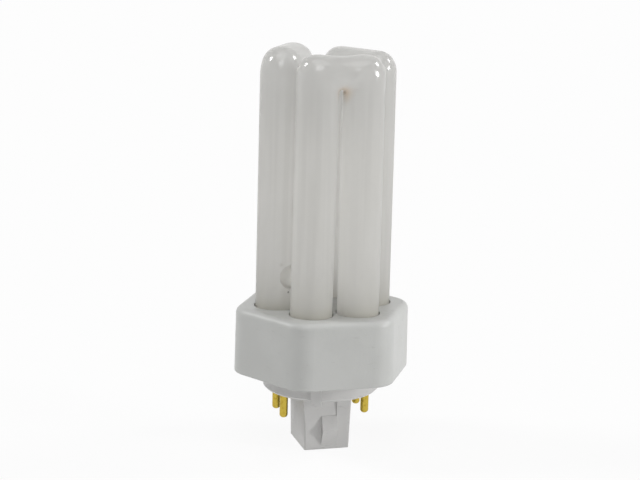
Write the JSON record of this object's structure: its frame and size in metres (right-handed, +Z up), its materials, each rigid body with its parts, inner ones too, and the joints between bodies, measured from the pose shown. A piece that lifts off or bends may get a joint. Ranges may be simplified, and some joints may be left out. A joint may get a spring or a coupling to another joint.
{
  "type": "compact fluorescent lamp",
  "caption": "Plug-in compact fluorescent lamp: bridged glass U tubes in a hexagonal holder over a round collar, contact pins and a tapered plug post with latch teeth.",
  "frame": {"origin": "centre of the plug post's flat foot, the lowest face of the lamp", "axes": "+Z up along the lamp's axis towards the tube bends, -Y to the front, where one U tube shows both legs and the collar's key tab is, +X to the right across the pin rows"},
  "size_m": [0.052, 0.0472, 0.1168],
  "materials": {
    "tube_glass": "clear glass tube with a white phosphor coat inside, glossy",
    "holder_plastic": "moulded white plastic, satin",
    "base_plastic": "moulded white plastic, satin",
    "pin_brass": "bright brass",
    "lead_wire": "drawn nickel-iron wire",
    "sleeve": "woven glass sleeve, off-white",
    "cement": "set lamp cement, matt off-white"
  },
  "bodies": {
    "root": {"u_tube_left": "tube_glass", "u_tube_front": "tube_glass", "u_tube_rear": "tube_glass", "glass_bridge_front": "tube_glass", "glass_bridge_rear": "tube_glass", "tube_holder": "holder_plastic", "base_cap": "base_plastic", "cement_ring_1": "cement", "cement_ring_2": "cement", "cement_ring_3": "cement", "cement_ring_4": "cement", "cement_ring_5": "cement", "cement_ring_6": "cement", "contact_pin_1": "pin_brass", "lead_wire_1": "lead_wire", "wire_sleeve_1": "sleeve", "contact_pin_2": "pin_brass", "lead_wire_2": "lead_wire", "wire_sleeve_2": "sleeve", "contact_pin_3": "pin_brass", "lead_wire_3": "lead_wire", "wire_sleeve_3": "sleeve", "contact_pin_4": "pin_brass", "lead_wire_4": "lead_wire", "wire_sleeve_4": "sleeve"}
  },
  "joints": []
}
